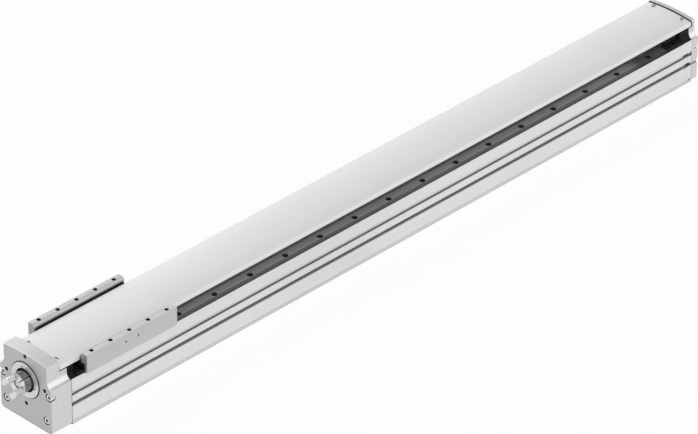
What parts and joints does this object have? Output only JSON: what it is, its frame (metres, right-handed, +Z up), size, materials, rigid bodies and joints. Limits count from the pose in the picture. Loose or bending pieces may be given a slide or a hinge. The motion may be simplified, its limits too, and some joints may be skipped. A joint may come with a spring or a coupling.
{
  "type": "ball screw linear axis",
  "caption": "Long aluminium linear axis with a ball screw under an arched cover and a slide with two threaded bars that travels beside the cover.",
  "frame": {"origin": "on the bottom face of the profile, at the middle of its length and width", "axes": "+X along the axis from the drive end to the far end, +Z up from the mounting face"},
  "size_m": [1.1514, 0.1, 0.094],
  "materials": {
    "profile_aluminium": "fine brushed and clear anodised",
    "cap_aluminium": "milled and clear anodised",
    "slide_aluminium": "milled and clear anodised",
    "cover_aluminium": "matt anodised",
    "hardened_steel": "ground and hardened",
    "screw_steel": "ground",
    "fastener_steel": "zinc plated",
    "dark_steel": "blackened",
    "black_plastic": "moulded",
    "rubber": "moulded",
    "brass": "turned"
  },
  "bodies": {
    "frame": {"base_profile": "profile_aluminium", "left_rail": "hardened_steel", "right_rail": "hardened_steel", "rail_screws": "fastener_steel", "drive_end_fillers": "black_plastic", "far_end_fillers": "black_plastic", "filler_screws": "fastener_steel", "drive_end_stop_blocks": "black_plastic", "far_end_stop_blocks": "black_plastic", "drive_cap": "cap_aluminium", "drive_cap_screws": "fastener_steel", "far_cap": "cap_aluminium", "far_cap_screws": "fastener_steel", "top_cover": "cover_aluminium", "cover_screws": "fastener_steel", "far_gasket": "rubber", "bearing_retaining_ring": "slide_aluminium", "fixed_bearing_outer_ring": "screw_steel", "floating_bearing_outer_ring": "screw_steel", "drive_end_buffers": "rubber", "far_end_buffers": "rubber"},
    "screw": {"ball_screw": "screw_steel", "fixed_bearing_inner_ring": "screw_steel", "floating_bearing_inner_ring": "screw_steel", "lock_nut": "dark_steel", "floating_bearing_circlip": "dark_steel", "coupling_hub": "slide_aluminium", "hub_clamp_screw": "fastener_steel", "fixed_bearing_cage": "black_plastic", "floating_bearing_cage": "black_plastic"},
    "slide": {"cover_wipers": "black_plastic", "carriage_plate": "dark_steel", "left_slide_bar": "slide_aluminium", "right_slide_bar": "slide_aluminium", "slide_bar_screws": "fastener_steel", "lube_plugs": "brass", "left_drive_side_runner": "hardened_steel", "right_drive_side_runner": "hardened_steel", "left_far_side_runner": "hardened_steel", "right_far_side_runner": "hardened_steel", "runner_screws": "fastener_steel", "runner_end_caps": "black_plastic", "nut_housing": "slide_aluminium", "housing_screws": "fastener_steel", "ball_nut": "screw_steel", "nut_screws": "fastener_steel"}
  },
  "joints": [
    {"name": "slide_travel", "type": "slide", "parent": "frame", "child": "slide", "axis": [1, 0, 0], "range_m": [0, 0.9]},
    {"name": "screw_spin", "type": "hinge", "parent": "frame", "child": "screw", "pos_m": [0, 0, 0.0575], "axis": [-1, 0, 0], "range_deg": [-5, 32405]}
  ],
  "couplings": [
    {"joint": "screw_spin", "follows": "slide_travel", "rad_per_m": 628.32}
  ]
}
